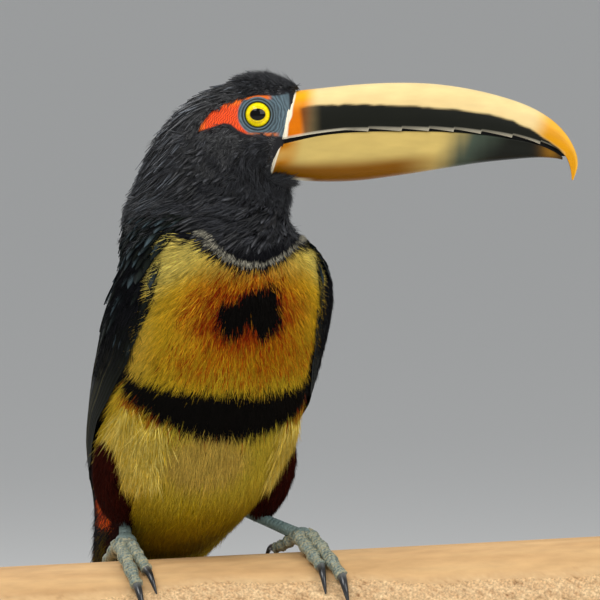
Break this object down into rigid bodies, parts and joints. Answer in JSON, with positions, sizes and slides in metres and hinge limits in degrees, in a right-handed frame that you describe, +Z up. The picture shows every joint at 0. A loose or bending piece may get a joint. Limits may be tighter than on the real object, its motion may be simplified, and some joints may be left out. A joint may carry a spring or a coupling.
{
  "type": "perched aracari, a small toucan",
  "caption": "Still life-size figure of a small long-billed toucan, head turned in profile, gripping a cut length of round rail on a plain display stand.",
  "frame": {"origin": "middle of the model's footprint, on the underside of the stand's base", "axes": "+Z up; the breast faces -Y turned a little towards +X; the bill points along +X; the rail runs along X"},
  "size_m": [0.2528, 0.1618, 0.3575],
  "materials": {
    "feathers_black": "matt overlapping feathers with a faint sheen",
    "feathers_yellow": "matt hair-like feathers, with a black breast spot, a rust halo and a black belly band",
    "feathers_red": "matt overlapping feathers",
    "feathers_chestnut": "matt short feathers",
    "feathers_green": "dark green-black vanes with a soft sheen",
    "bill_horn_upper": "smooth horn: ivory ridge, black stripe, orange root and tip",
    "bill_horn_lower": "smooth horn: tan, orange-brown below, blue-black towards the tip",
    "foot_skin": "dry scaled skin",
    "claw_horn": "worn dark horn",
    "eye": "wet and clear, with a yellow ring round a dark pupil",
    "perch_wood": "worn smooth above, rough below",
    "stand_wood": "satin",
    "stand_steel": "brushed"
  },
  "bodies": {
    "root": {"head": "feathers_black", "neck": "feathers_black", "trunk": "feathers_yellow", "rump": "feathers_red", "wing_right": "feathers_green", "wing_left": "feathers_green", "tail": "feathers_green", "bill_upper": "bill_horn_upper", "bill_lower": "bill_horn_lower", "eye_right": "eye", "eye_left": "eye", "thigh_right": "feathers_chestnut", "thigh_left": "feathers_chestnut", "tarsus_right": "foot_skin", "tarsus_left": "foot_skin", "perch": "perch_wood", "stand_base": "stand_wood", "stand_rod_right": "stand_steel", "stand_rod_left": "stand_steel", "toe_1_right": "foot_skin", "claw_1_right": "claw_horn", "toe_2_right": "foot_skin", "claw_2_right": "claw_horn", "toe_3_right": "foot_skin", "claw_3_right": "claw_horn", "toe_4_right": "foot_skin", "claw_4_right": "claw_horn", "toe_1_left": "foot_skin", "claw_1_left": "claw_horn", "toe_2_left": "foot_skin", "claw_2_left": "claw_horn", "toe_3_left": "foot_skin", "claw_3_left": "claw_horn", "toe_4_left": "foot_skin", "claw_4_left": "claw_horn"}
  },
  "joints": []
}
